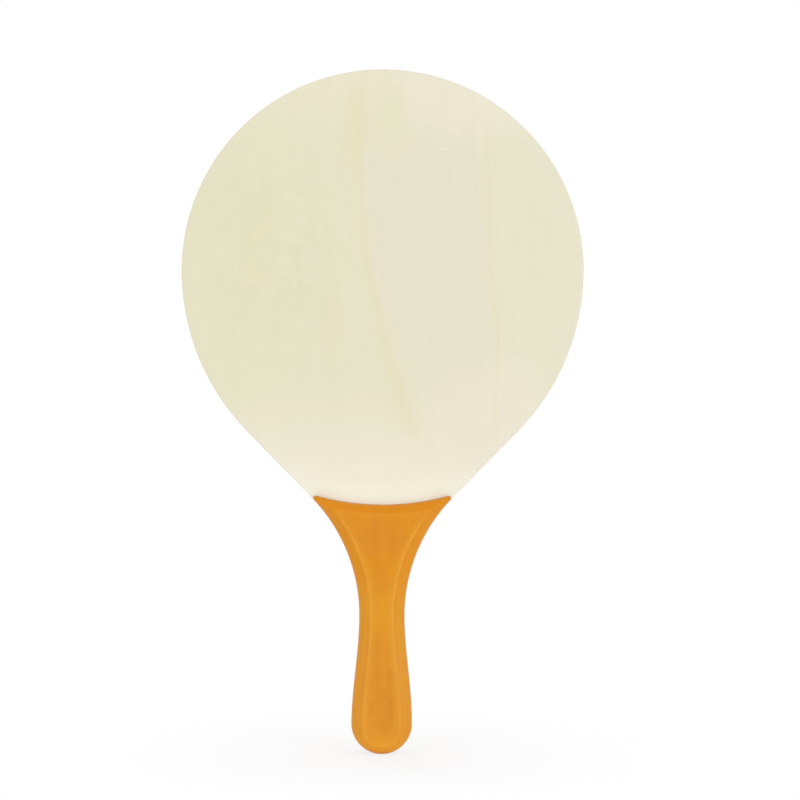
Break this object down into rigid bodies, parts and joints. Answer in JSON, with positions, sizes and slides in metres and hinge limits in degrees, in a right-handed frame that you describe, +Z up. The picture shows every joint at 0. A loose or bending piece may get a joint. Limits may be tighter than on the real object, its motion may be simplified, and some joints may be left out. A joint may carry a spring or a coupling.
{
  "type": "beach bat",
  "caption": "Wooden beach bat: a round plywood blade that narrows to a flared handle, with a rounded painted scale glued to each side of its tang.",
  "frame": {"origin": "bottom of the butt end, on the centre line, half way through the thickness", "axes": "+Z up the handle towards the head, +X across the blade, +Y through the thickness from the front face to the back face"},
  "size_m": [0.194, 0.0208, 0.33],
  "materials": {
    "veneer": "pale sanded veneer, fine grain along the bat, clear matt seal",
    "cross_grain": "sanded edge of a cross-grain ply",
    "core": "sanded edge of the middle ply",
    "lacquer": "satin orange lacquer on wood",
    "dowel": "plain beech dowel"
  },
  "bodies": {
    "root": {"front_face_ply": "veneer", "front_cross_ply": "cross_grain", "core_ply": "core", "back_cross_ply": "cross_grain", "back_face_ply": "veneer", "front_handle_scale": "lacquer", "back_handle_scale": "lacquer", "lower_dowel": "dowel", "upper_dowel": "dowel"}
  },
  "joints": []
}
